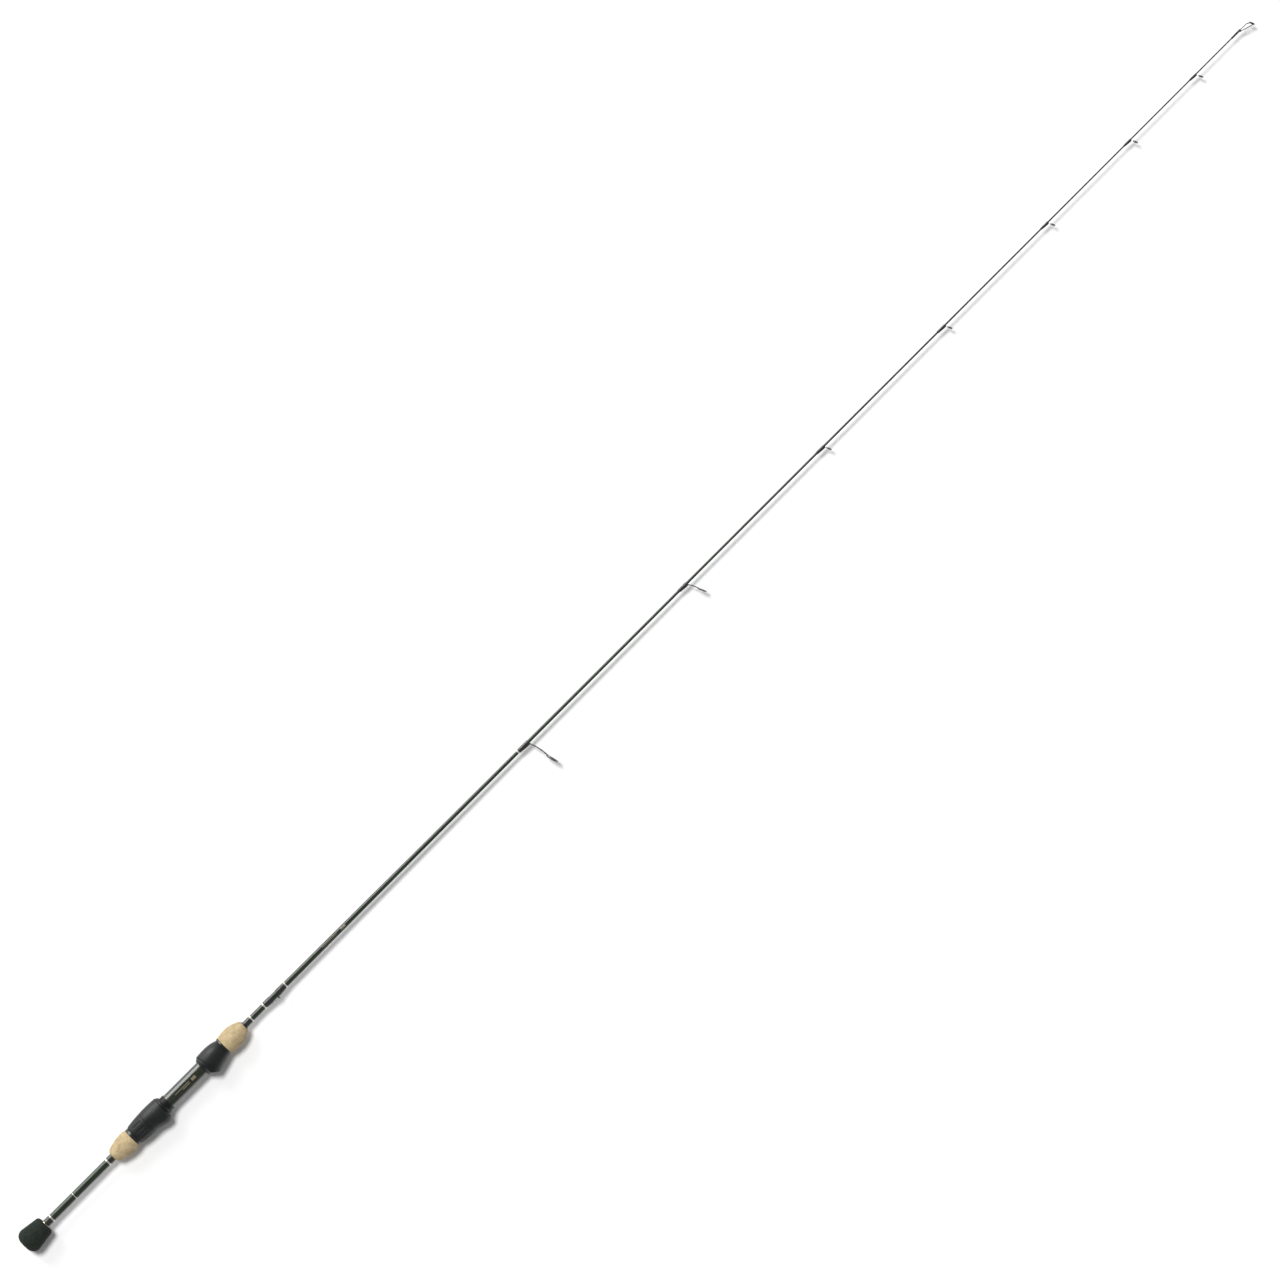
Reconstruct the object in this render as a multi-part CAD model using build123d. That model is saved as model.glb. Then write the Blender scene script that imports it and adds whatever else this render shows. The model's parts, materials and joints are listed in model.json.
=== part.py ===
from build123d import *
import math
import os

# A one-piece spinning rod, 1676 mm (5 ft 6 in) long. All sizes are in millimetres.
# The blank's centre line is the X axis, with the butt end at X = 0 and the tip at +X.
# The line guides and the reel stand on the -Y side. The rod lies on its side, +Z up.

ROD_LENGTH = 1676.0

# Blank: (distance from the butt, outside diameter), with straight tapers between them
BLANK_STATIONS = [
    (3.0, 7.8), (120.0, 7.5), (315.0, 6.3), (530.0, 4.6), (700.0, 3.5),
    (930.0, 2.7), (1160.0, 2.1), (1470.0, 1.6), (1661.0, 1.4),
]
BLANK_WALL_BUTT = 0.9
BLANK_WALL_TIP = 0.42

# Butt cap, moulded foam
CAP_LENGTH = 29.2
CAP_BUTT_R = 13.9
CAP_NOSE_R = 9.65
CAP_BUTT_CORNER = 8.0
CAP_NOSE_CORNER = 3.3
CAP_RING_LENGTH = 0.8
CAP_RING_R = 4.4

# Cork grips
REAR_CORK_START = 121.3
REAR_CORK_END = 147.4
REAR_CORK_NOSE_R = 4.6
REAR_CORK_MAX_R = 10.8
REAR_CORK_END_R = 9.9
FORE_CORK_START = 273.7
FORE_CORK_END = 300.6
FORE_CORK_START_R = 9.9
FORE_CORK_MAX_R = 11.0
FORE_CORK_NOSE_R = 4.8
CHECK_LENGTH = 1.0
CHECK_R = 4.3

# Trim rings beside the reel seat
TRIM_RING_R = 9.9
TRIM_RING_CORNER = 0.45
TRIM_RING_START = 147.4
SEAT_START = 151.0
SEAT_END = 271.4

# Reel seat tube, threaded barrel and the arbors between the tube and the blank
TUBE_R = 7.4
TUBE_BORE_R = 6.45
BARREL_END = 197.2
THREAD_PITCH = 2.0
THREAD_ROOT_R = 7.95
THREAD_CREST_R = 8.55
THREAD_ROOT_WIDTH = 1.2
THREAD_CREST_WIDTH = 0.52
THREAD_SINK = 0.1
KEYWAY_WIDTH = 2.16
KEYWAY_FLOOR_R = 7.98
REAR_ARBOR = (153.0, 183.0)
FRONT_ARBOR = (240.0, 270.0)

# Sliding hood and its nut: SLIDE_FIT is the clearance on the thread crests
SLIDE_FIT = 0.07
FOOT_PLANE = 9.15
POCKET_HALF_WIDTH = 7.4
HOOD_WALL = 1.3
NUT_START = 151.3
NUT_MIDDLE = 159.0
NUT_END = 168.1
NUT_REAR_R = 10.4
NUT_MID_R = 11.4
NUT_FRONT_R = 12.0
NUT_CORNER = 0.8
NUT_RIM_ROUND = 0.3
NUT_SCOOPS = 12
NUT_SCOOP_X = 159.6
NUT_SCOOP_LENGTH = 8.0
NUT_SCOOP_R = 3.4
NUT_SCOOP_DEPTH = 0.4
COLLAR_START = 165.2
COLLAR_BEAD_LENGTH = 1.0
COLLAR_R = 9.77
COLLAR_BEAD_R = 10.12
COLLAR_FIT = 0.08
COLLAR_END_PLAY = 0.1
HOOD_START = 168.2
HOOD_FRONT_TOP = (189.9, -11.8)
HOOD_FRONT_LIP = (188.3, 12.5)
HOOD_POCKET_START = 171.0
LINER_END = 192.2
LINER_CHAMFER = 1.0
LINER_R = 9.4
LINER_FRONT_R = 10.6
LINER_MOUTH_R = 9.25
KEY_WIDTH = 2.0
KEY_TIP_R = 8.05
KEY_ROOT = 0.3

# Rounding of the hoods' slanted edges, and of the ends next to the nut and the trim ring
MOUTH_EDGE_ROUND = 0.7
HOOD_END_ROUND = 0.3

# Sliding hood outside: (X, top, reel side, half width)
MOVING_HOOD_SHAPE = [
    (168.2, 12.0, 12.0, 12.0), (176.2, 12.25, 13.1, 12.25), (182.7, 12.1, 14.6, 12.15),
    (190.0, 11.6, 11.7, 11.6),
]

# Fixed hood outside, the same way, and its slanted mouth
FIXED_HOOD_SHAPE = [
    (243.1, 11.0, 16.9, 11.3), (252.8, 11.6, 14.8, 11.8), (262.5, 11.3, 12.1, 11.4),
    (271.4, 8.8, 9.6, 9.0),
]
FIXED_COLLAR_START = 243.1
FIXED_COLLAR_R = 8.5
FIXED_COLLAR_SHOULDER = (246.6, 11.4)
FIXED_COLLAR_ROUND = 2.2
MOUTH_LIP = (252.8, 14.8)
MOUTH_HEEL = (246.6, 9.4)
BELL_EDGE_TOP = (246.9, -11.2)
BELL_EDGE_LIP = (254.0, 14.7)
FIXED_POCKET_END = 266.0
FIXED_LINER_END = 264.0
FIXED_LINER_R = 9.05

# Further from the centre line than any piece of the reel seat reaches
SEAT_REACH = 20.0

# Thread windings on the blank under clear coat, and the metallic bands at their ends
WRAP_BUILD = 0.35
BAND_BUILD = 0.4
WRAP_END_ROUND = 0.28
WRAP_LIP = 0.6
WRAP_SADDLE = 0.55
PLAIN_WRAPS = {
    "butt_wrap": (30.0, 36.9),
    "rear_grip_wrap": (115.4, 121.3),
    "fore_grip_wrap": (301.6, 309.7),
    "tip_wrap": (1650.0, 1654.6),
}
BANDS = {
    "butt_band": (36.9, 38.5),
    "rear_grip_band": (113.8, 115.4),
    "fore_grip_band": (309.7, 311.2),
    "keeper_rear_band": (327.0, 328.6),
    "keeper_front_band": (356.1, 357.6),
    "guide_1_band": (674.2, 675.7),
}

# Single metallic stripe on the blank behind the rear grip
STRIPE = (68.1, 68.9)
STRIPE_BUILD = 0.15

# Folding hook keeper, on the reel side of the blank
KEEPER_REAR_WRAP = (328.6, 337.0)
KEEPER_FRONT_WRAP = (345.6, 356.1)
KEEPER_FOOT_LENGTH = 6.0
KEEPER_FOOT_WIDTH = 2.6
KEEPER_FOOT_HEIGHT = 0.7
KEEPER_TOE_LENGTH = 3.0
KEEPER_PIVOT_X = 343.9
KEEPER_PIVOT_HEIGHT = 1.55
KEEPER_EYE_R = 0.95
KEEPER_EYE_WIDTH = 2.4
KEEPER_WIRE_R = 0.4
KEEPER_WIRE_FIT = 0.06
KEEPER_LOOP_LENGTH = 5.0
KEEPER_LOOP_HALF_WIDTH = 2.3
KEEPER_LOOP_CORNER = 1.1

# Line guides: winding start, winding end, ring centre X, ring centre distance,
# ring outside diameter, lean towards the tip in degrees, winding build, leg thickness
GUIDES = [
    (675.7, 688.7, 693.7, 28.1, 13.5, 15.0, 0.55, 1.1),
    (894.6, 905.3, 911.5, 15.4, 9.5, 24.0, 0.45, 1.0),
    (1082.6, 1093.2, 1094.7, 5.2, 6.0, 24.0, 0.40, 0.8),
    (1248.0, 1258.5, 1260.0, 5.1, 5.8, 24.0, 0.38, 0.8),
    (1389.5, 1399.2, 1400.7, 5.0, 5.8, 24.0, 0.36, 0.8),
    (1503.0, 1512.3, 1513.8, 4.9, 5.8, 24.0, 0.34, 0.8),
    (1592.5, 1601.7, 1603.2, 4.8, 5.8, 24.0, 0.32, 0.8),
]
RING_FRAME_WALL = 0.085
RING_FRAME_LEAST_WALL = 0.5
RING_INSERT_WALL = 0.125
RING_INSERT_LEAST_WALL = 0.75
RING_WIDTH = 0.17
RING_LEAST_WIDTH = 1.5
RING_FRAME_WIDTH = 0.8
RING_FRAME_ROUND = 0.42
RING_MOUTH_ROUND = 0.3
FOOT_TOE = 2.0
FOOT_HEEL = 0.5
FOOT_HEIGHT = 0.85
FOOT_TOE_HEIGHT = 0.35
FOOT_WIDTH = 0.2
FOOT_MOST_WIDTH = 1.2

# A guide is tall if its ring stands off by more than this many ring diameters
TALL_GUIDE = 1.5
TALL_LEG_REACH = 0.78
TALL_LEG_WIDTH = 0.6
TALL_LEG_BOW = 0.045
TALL_LEG_SHIFT = 0.25
LOW_LEG_REACH = 0.9
LOW_LEG_WIDTH = 0.42
LEG_WINDOW_START = 0.28
LEG_WINDOW_MARGIN = 0.95

# Tip-top
TIP_TUBE = (1654.6, 1662.4)
TIP_TUBE_R = 1.1
TIP_RING_X = ROD_LENGTH - 1.52
TIP_RING_HEIGHT = 3.6
TIP_RING_DIAMETER = 5.8
TIP_RING_LEAN = 20.0
TIP_TUBE_ROUND = 0.5
TIP_WIRE_R = 0.4
TIP_WIRE_BEND = 3.0
TIP_ARM_ANGLE = 130.0
TIP_ARM_START = -3.0
TIP_ARM_KNEE = (-4.0, -0.15, 1.75)
TIP_BRACE_ANGLE = 48.0
TIP_BRACE_START = (-2.0, 0.4)


def outside_radius(x):
    """Radius of the blank at X, on the straight taper between two stations."""
    for (x0, d0), (x1, d1) in zip(BLANK_STATIONS, BLANK_STATIONS[1:]):
        if x <= x1:
            break
    return (d0 + (d1 - d0) * (x - x0) / (x1 - x0)) / 2


def surface_points(x0, x1):
    """Points (X, radius) on the blank's surface from x0 to x1."""
    inner = [x for x, _ in BLANK_STATIONS if x0 < x < x1]
    return [(x, outside_radius(x)) for x in [x0, *inner, x1]]


def rounded(face, corners):
    """The face with the corner nearest each (X, radius, fillet) rounded."""
    for x, r, size in corners:
        corner = face.vertices().sort_by_distance((x, r, 0))[0]
        face = fillet(corner, size)
    return face


def turned(points, corners=()):
    """Solid of revolution about X from a closed outline of (X, radius) points."""
    outline = Polyline(*points, close=True)
    return revolve(rounded(make_face(outline), corners), Axis.X)


def on_blank(outside, corners=()):
    """Turned piece whose bore is the blank's own surface."""
    inside = surface_points(outside[0][0], outside[-1][0])
    return turned(list(outside) + inside[::-1], corners)


def collar(x0, x1, radius, corner=0.0):
    """Plain ring on the blank, with both outer corners rounded."""
    corners = [(x0, radius, corner), (x1, radius, corner)] if corner else []
    return on_blank([(x0, radius), (x1, radius)], corners)


def tube(x0, x1, radius, bore):
    """Straight tube along X."""
    return turned([(x0, bore), (x0, radius), (x1, radius), (x1, bore)])


def slab(x0, x1, y0, y1, z0, z1):
    """Box between two corners."""
    middle = Pos((x0 + x1) / 2, (y0 + y1) / 2, (z0 + z1) / 2)
    return middle * Box(x1 - x0, y1 - y0, z1 - z0)


def across(x0, x1, y0=-SEAT_REACH, y1=SEAT_REACH):
    """Box between two X positions that is wider than the reel seat."""
    return slab(x0, x1, y0, y1, -SEAT_REACH, SEAT_REACH)


def ellipse_at(x, top, reel_side, half_width):
    """Ellipse across X that reaches +top and -reel_side in Y."""
    middle = (top - reel_side) / 2
    return Plane.YZ.offset(x) * Pos(middle, 0) * Ellipse((top + reel_side) / 2, half_width)


def blank():
    """Hollow blank in straight compound tapers."""
    length = BLANK_STATIONS[-1][0] - BLANK_STATIONS[0][0]
    outer = [(x, d / 2) for x, d in BLANK_STATIONS]
    inner = []
    for x, r in outer:
        share = (x - BLANK_STATIONS[0][0]) / length
        inner.append((x, r - BLANK_WALL_BUTT + (BLANK_WALL_BUTT - BLANK_WALL_TIP) * share))
    return turned(outer + inner[::-1])


def butt_cap():
    """Foam cap: domed butt, straight taper to a rounded nose, and a blind bore."""
    bore_end = BLANK_STATIONS[0][0]
    outside = [(0, 0), (0, CAP_BUTT_R), (CAP_LENGTH, CAP_NOSE_R)]
    inside = surface_points(bore_end, CAP_LENGTH)[::-1] + [(bore_end, 0)]
    corners = [(0, CAP_BUTT_R, CAP_BUTT_CORNER), (CAP_LENGTH, CAP_NOSE_R, CAP_NOSE_CORNER)]
    return turned(outside + inside, corners)


def cork_grip(x0, x1, curve):
    """Grip turned from cork along a smooth curve, bored to the blank."""
    profile = Spline(*curve)
    ends = surface_points(x0, x1)
    edges = [profile, Line(curve[0], ends[0]), Line(curve[-1], ends[-1]), Polyline(*ends)]
    return revolve(make_face(edges), Axis.X)


def rear_cork_grip():
    curve = [
        (REAR_CORK_START, REAR_CORK_NOSE_R), (123.2, 6.9), (127.5, 8.7), (133.5, 10.1),
        (139.7, REAR_CORK_MAX_R), (REAR_CORK_END, REAR_CORK_END_R),
    ]
    return cork_grip(REAR_CORK_START, REAR_CORK_END, curve)


def fore_cork_grip():
    curve = [
        (FORE_CORK_START, FORE_CORK_START_R), (279.0, 10.7), (284.7, FORE_CORK_MAX_R),
        (290.5, 10.2), (296.0, 8.3), (299.2, 6.5), (FORE_CORK_END, FORE_CORK_NOSE_R),
    ]
    return cork_grip(FORE_CORK_START, FORE_CORK_END, curve)


def external_thread(x0, x1):
    """Helical ridge between two X positions, sunk a little into the barrel's core."""
    sunk = THREAD_ROOT_R - THREAD_SINK
    half_root = THREAD_ROOT_WIDTH / 2
    half_crest = THREAD_CREST_WIDTH / 2
    path = Helix(THREAD_PITCH, x1 - x0, sunk, center=(0, 0, 0), direction=(0, 0, 1))
    crest = THREAD_CREST_R - sunk
    section = Polyline((0, -half_root), (crest, -half_crest), (crest, half_crest),
                       (0, half_root), close=True)
    start = Plane(origin=(sunk, 0, 0), x_dir=(1, 0, 0), z_dir=(0, -1, 0))
    ridge = sweep(start * make_face(section), path=path, is_frenet=True)
    return Pos(x0, 0, 0) * Rot(0, 90, 0) * ridge


def threaded_barrel():
    """Sleeve on the seat tube with the nut's thread and the hood's keyway."""
    core = tube(SEAT_START, BARREL_END, THREAD_ROOT_R, TUBE_R)
    ridge = external_thread(SEAT_START - THREAD_PITCH, BARREL_END + THREAD_PITCH)
    ridge -= across(SEAT_START - 2 * THREAD_PITCH, SEAT_START)
    ridge -= across(BARREL_END, BARREL_END + 2 * THREAD_PITCH)
    half = KEYWAY_WIDTH / 2
    keyway = slab(SEAT_START, BARREL_END, KEYWAY_FLOOR_R, SEAT_REACH, -half, half)
    return core + ridge - keyway


def arbor(x0, x1):
    """Filler between the blank and the seat tube."""
    return collar(x0, x1, TUBE_BORE_R)


def lock_nut():
    """Finger nut: curved outside with scoops, and a stepped recess for the hood's collar."""
    bore = THREAD_CREST_R + SLIDE_FIT
    bead_r = COLLAR_BEAD_R + COLLAR_FIT
    neck_r = COLLAR_R + COLLAR_FIT
    recess = COLLAR_START - COLLAR_END_PLAY
    step = COLLAR_START + COLLAR_BEAD_LENGTH + COLLAR_END_PLAY
    rear = (NUT_START, NUT_REAR_R)
    front = (NUT_END, NUT_FRONT_R)
    side = ThreePointArc(rear, (NUT_MIDDLE, NUT_MID_R), front)
    inside = Polyline(front, (NUT_END, neck_r), (step, neck_r), (step, bead_r), (recess, bead_r),
                      (recess, bore), (NUT_START, bore), rear)
    corners = [(*rear, NUT_CORNER), (*front, NUT_RIM_ROUND)]
    nut = revolve(rounded(make_face([side, inside]), corners), Axis.X)
    slope = math.degrees(math.atan((NUT_FRONT_R - NUT_REAR_R) / (NUT_END - NUT_START)))
    reach = NUT_MID_R + NUT_SCOOP_R - NUT_SCOOP_DEPTH
    scoop = Rot(0, 90, 0) * Cylinder(NUT_SCOOP_R, NUT_SCOOP_LENGTH)
    for side in (-1, 1):
        scoop += Pos(side * NUT_SCOOP_LENGTH / 2, 0, 0) * Sphere(NUT_SCOOP_R)
    scoop = Pos(NUT_SCOOP_X, 0, reach) * Rot(0, -slope, 0) * scoop
    for index in range(NUT_SCOOPS):
        nut -= Rot(360 / NUT_SCOOPS * index, 0, 0) * scoop
    return nut


def hood_shell(shape):
    """Solid hood through its ellipses."""
    return loft([ellipse_at(*row) for row in shape])


def hood_pocket(shape, x0, x1):
    """Space for the end of the reel foot, inside the hood's reel side."""
    slimmer = [(x, top - HOOD_WALL, reel - HOOD_WALL, half - HOOD_WALL)
               for x, top, reel, half in shape]
    space = loft([ellipse_at(*row) for row in slimmer])
    half = POCKET_HALF_WIDTH
    limits = slab(x0, x1, -SEAT_REACH, -FOOT_PLANE, -half, half)
    return space & limits


def beyond_edge(top, lip, side):
    """Block on one side of a slanted edge from (X, distance) on top to the reel side's lip."""
    run = lip[0] - top[0]
    rise = lip[1] - top[1]
    low = (top[0] - run, -(top[1] - rise))
    high = (lip[0] + run, -(lip[1] + rise))
    beyond = side * 3 * SEAT_REACH
    outline = Polyline(low, high, (high[0] + beyond, high[1]), (low[0] + beyond, low[1]),
                       close=True)
    return extrude(make_face(outline), SEAT_REACH, both=True)


def softened_mouth(shell, top, lip):
    """The shell with the outer rim of its slanted edge rounded."""
    start = Vector(top[0], -top[1], 0)
    along = Vector(lip[0], -lip[1], 0) - start
    normal = along.cross(Vector(0, 0, 1)).normalized()
    in_plane = [edge for edge in shell.edges()
                if all(abs((edge @ share - start).dot(normal)) < 0.01 for share in (0, 0.3, 0.7))]
    return fillet(max(in_plane, key=lambda edge: edge.length), MOUTH_EDGE_ROUND)


def softened_end(shell, which):
    """The shell with its outer rim rounded: which is 0 at its rear end, -1 at its front end."""
    rim = shell.edges().group_by(Axis.X)[which].sort_by(SortBy.LENGTH)[-1]
    return fillet(rim, HOOD_END_ROUND)


def moving_hood():
    """Outer shell of the sliding hood, around its liner."""
    shell = hood_shell(MOVING_HOOD_SHAPE)
    shell -= beyond_edge(HOOD_FRONT_TOP, HOOD_FRONT_LIP, 1)
    shell -= tube(HOOD_START - 1, LINER_END, LINER_R, 0)
    shell -= hood_pocket(MOVING_HOOD_SHAPE, HOOD_POCKET_START, LINER_END)
    shell = softened_mouth(shell, HOOD_FRONT_TOP, HOOD_FRONT_LIP)
    return softened_end(shell, 0)


def moving_hood_liner():
    """Sleeve that slides on the barrel, with the nut's snap collar, the key and a foot rest."""
    bore = THREAD_CREST_R + SLIDE_FIT
    bead_end = COLLAR_START + COLLAR_BEAD_LENGTH
    outline = [
        (COLLAR_START, bore), (COLLAR_START, COLLAR_BEAD_R), (bead_end, COLLAR_BEAD_R),
        (bead_end, COLLAR_R), (HOOD_START, COLLAR_R), (HOOD_START, LINER_R),
        (HOOD_FRONT_TOP[0], LINER_R), (HOOD_FRONT_TOP[0], LINER_FRONT_R),
        (LINER_END - LINER_CHAMFER, LINER_FRONT_R), (LINER_END, LINER_MOUTH_R), (LINER_END, bore),
    ]
    liner = turned(outline)
    flat = across(HOOD_POCKET_START, LINER_END, -SEAT_REACH, -FOOT_PLANE)
    half = KEY_WIDTH / 2
    key = slab(COLLAR_START, LINER_END, KEY_TIP_R, bore + KEY_ROOT, -half, half)
    return liner - flat + key


def fixed_hood_envelope():
    """Whole fixed hood: rounded collar, slanted mouth and front taper, all solid."""
    body = hood_shell(FIXED_HOOD_SHAPE)
    shoulder = FIXED_COLLAR_SHOULDER
    outline = [
        (FIXED_COLLAR_START, 0), (FIXED_COLLAR_START, FIXED_COLLAR_R), shoulder,
        (shoulder[0], SEAT_REACH), (SEAT_END, SEAT_REACH), (SEAT_END, 0),
    ]
    rim = turned(outline, [(*shoulder, FIXED_COLLAR_ROUND)])
    below_foot = across(FIXED_COLLAR_START, SEAT_END, -SEAT_REACH, -FOOT_PLANE)
    mouth = beyond_edge(MOUTH_HEEL, MOUTH_LIP, -1) & below_foot
    return (body & rim) - mouth


def fixed_hood():
    """Outer shell of the fixed hood."""
    shell = fixed_hood_envelope() - beyond_edge(BELL_EDGE_TOP, BELL_EDGE_LIP, -1)
    shell -= tube(FIXED_COLLAR_START, FIXED_LINER_END, FIXED_LINER_R, 0)
    shell -= tube(FIXED_COLLAR_START, SEAT_END, TUBE_R, 0)
    shell -= hood_pocket(FIXED_HOOD_SHAPE, FIXED_COLLAR_START, FIXED_POCKET_END)
    shell = softened_mouth(shell, BELL_EDGE_TOP, BELL_EDGE_LIP)
    return softened_end(shell, -1)


def fixed_hood_liner():
    """Mouth and sleeve of the fixed hood, between the tube and the outer shell."""
    mouth = fixed_hood_envelope() & beyond_edge(BELL_EDGE_TOP, BELL_EDGE_LIP, -1)
    sleeve = tube(FIXED_COLLAR_START, FIXED_LINER_END, FIXED_LINER_R, 0)
    liner = mouth + sleeve - tube(FIXED_COLLAR_START, SEAT_END, TUBE_R, 0)
    return liner - hood_pocket(FIXED_HOOD_SHAPE, FIXED_COLLAR_START - 1, FIXED_POCKET_END)


def plain_wrap(x0, x1, build):
    """Thread winding on the bare blank, with rounded ends."""
    r0 = outside_radius(x0) + build
    r1 = outside_radius(x1) + build
    size = min(WRAP_END_ROUND, build * 0.8)
    return on_blank([(x0, r0), (x1, r1)], [(x0, r0, size), (x1, r1, size)])


def band(x0, x1):
    """Narrow metallic winding that butts against a wrap."""
    r0 = outside_radius(x0) + BAND_BUILD
    r1 = outside_radius(x1) + BAND_BUILD
    return on_blank([(x0, r0), (x1, r1)])


def blank_space(x0, x1):
    """The room that the blank takes between two X positions."""
    return turned([(x0, 0), *surface_points(x0, x1), (x1, 0)])


def strip_on_blank(heights, width):
    """Metal strip curved to the reel side of the blank, through (X, height) points."""
    x0 = heights[0][0]
    x1 = heights[-1][0]
    outline = [(x, outside_radius(x) + height) for x, height in heights]
    room = turned([(x0, 0), *outline, (x1, 0)])
    strip = room & slab(x0, x1, -SEAT_REACH, 0, -width / 2, width / 2)
    return strip - blank_space(x0, x1)


def wrap_over_foot(x_low, x_high, build, height):
    """Thread winding that grows from a round end at x_low into a saddle over a foot."""
    run = x_high - x_low
    lip = math.copysign(WRAP_LIP, run)
    stations = [
        (x_low, 0.4, 0.0), (x_low + lip, 1.0, 0.0), (x_low + run * WRAP_SADDLE, 1.0, 0.75),
        (x_high - lip, 1.0, 1.0), (x_high, 0.75, 1.0),
    ]
    sections = []
    for x, build_share, height_share in stations:
        r = outside_radius(x) + build * build_share
        sections.append(ellipse_at(x, r, r + height * height_share, r))
    if run < 0:
        sections.reverse()
    return loft(sections, ruled=True) - blank_space(min(x_low, x_high), max(x_low, x_high))


def keeper_pivot():
    """X and Y of the keeper's hinge."""
    return KEEPER_PIVOT_X, -(outside_radius(KEEPER_PIVOT_X) + KEEPER_PIVOT_HEIGHT)


def hook_keeper_base():
    """Strip on the blank between the two windings, with the eye for the loop."""
    x0 = KEEPER_REAR_WRAP[1] - KEEPER_FOOT_LENGTH
    x1 = KEEPER_FRONT_WRAP[0] + KEEPER_FOOT_LENGTH
    rise = KEEPER_FOOT_HEIGHT
    heights = [
        (x0, rise / 3), (x0 + KEEPER_TOE_LENGTH, rise), (x1 - KEEPER_TOE_LENGTH, rise),
        (x1, rise / 3),
    ]
    strip = strip_on_blank(heights, KEEPER_FOOT_WIDTH)
    px, py = keeper_pivot()
    half = KEEPER_EYE_WIDTH / 2
    eye = Pos(px, py, 0) * Cylinder(KEEPER_EYE_R, KEEPER_EYE_WIDTH)
    web_end = py + KEEPER_PIVOT_HEIGHT - rise / 2
    web = slab(px - KEEPER_EYE_R, px + KEEPER_EYE_R, py, web_end, -half, half)
    hole = Pos(px, py, 0) * Cylinder(KEEPER_WIRE_R + KEEPER_WIRE_FIT, KEEPER_EYE_WIDTH)
    return strip + web + eye - hole


def hook_keeper_loop():
    """Closed wire loop through the eye, folded back along the blank."""
    px, py = keeper_pivot()
    z = KEEPER_LOOP_HALF_WIDTH
    back = px - KEEPER_LOOP_LENGTH
    corner = KEEPER_LOOP_CORNER
    plane = Plane(origin=(px, py, 0), x_dir=(1, 0, 0), z_dir=(0, -1, 0))
    outline = Pos((back - px) / 2, 0) * RectangleRounded(KEEPER_LOOP_LENGTH, 2 * z, corner)
    path = (plane * outline).wire()
    start = Plane(origin=path @ 0, z_dir=path % 0)
    return sweep(start * Circle(KEEPER_WIRE_R), path=path)


def keeper_rear_wrap():
    x0, x1 = KEEPER_REAR_WRAP
    return wrap_over_foot(x0, x1, WRAP_BUILD, KEEPER_FOOT_HEIGHT) - hook_keeper_base()


def keeper_front_wrap():
    x0, x1 = KEEPER_FRONT_WRAP
    return wrap_over_foot(x1, x0, WRAP_BUILD, KEEPER_FOOT_HEIGHT) - hook_keeper_base()


def ring_plane(x, distance, lean):
    """Plane through a guide ring's centre, its normal along the ring's axis towards the tip."""
    angle = math.radians(lean)
    return Plane(origin=(x, -distance, 0), x_dir=(0, 0, 1),
                 z_dir=(math.cos(angle), math.sin(angle), 0))


def ring_point(place, radius, degrees):
    """Point on a leaning ring; 0 degrees is the side away from the blank."""
    angle = math.radians(degrees)
    away = place.z_dir.cross(place.x_dir)
    if away.Y > 0:
        away = -away
    return place.origin + away * (math.cos(angle) * radius) + place.x_dir * (math.sin(angle) * radius)


def ring_sizes(diameter):
    """Outer radius, seat radius, bore radius and width of a guide ring."""
    outer = diameter / 2
    seat = outer - max(diameter * RING_FRAME_WALL, RING_FRAME_LEAST_WALL)
    bore = seat - max(diameter * RING_INSERT_WALL, RING_INSERT_LEAST_WALL)
    return outer, seat, bore, max(diameter * RING_WIDTH, RING_LEAST_WIDTH)


def ring_section(outer, inner, width, corner):
    """Solid ring about Z, its four edges rounded."""
    half = width / 2
    outline = make_face(Polyline((inner, -half), (outer, -half), (outer, half), (inner, half),
                                 close=True))
    for x, y in ((inner, -half), (outer, -half), (outer, half), (inner, half)):
        if corner.get(x):
            vertex = outline.vertices().sort_by_distance((x, y, 0))[0]
            outline = fillet(vertex, corner[x])
    return revolve(Plane.XZ * outline, Axis.Z)


def ring_frame(place, diameter):
    """Metal holder of a guide ring."""
    outer, seat, _, width = ring_sizes(diameter)
    corner = (outer - seat) * RING_FRAME_ROUND
    return place * ring_section(outer, seat, width * RING_FRAME_WIDTH, {outer: corner})


def ring_insert(place, diameter):
    """Hard ring that the line runs through, with rounded mouths."""
    _, seat, bore, width = ring_sizes(diameter)
    return place * ring_section(seat, bore, width, {bore: width * RING_MOUTH_ROUND})


def bowed_strip(start, end, bow, thickness):
    """Side view of a strip that bows towards the tip, extruded wider than any leg."""
    run = Vector(end[0] - start[0], end[1] - start[1], 0)
    tipward = Vector(-run.Y, run.X, 0) / run.length
    middle = [(start[0] + end[0]) / 2 + tipward.X * bow, (start[1] + end[1]) / 2 + tipward.Y * bow]
    sides = []
    for shift in (-thickness / 2, thickness / 2):
        sides.append([(x + tipward.X * shift, y + tipward.Y * shift)
                      for x, y in (start, middle, end)])
    near, far = sides
    edges = [ThreePointArc(*near), ThreePointArc(*far)]
    edges += [Line(near[0], far[0]), Line(near[-1], far[-1])]
    return extrude(make_face(edges), SEAT_REACH, both=True)


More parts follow.
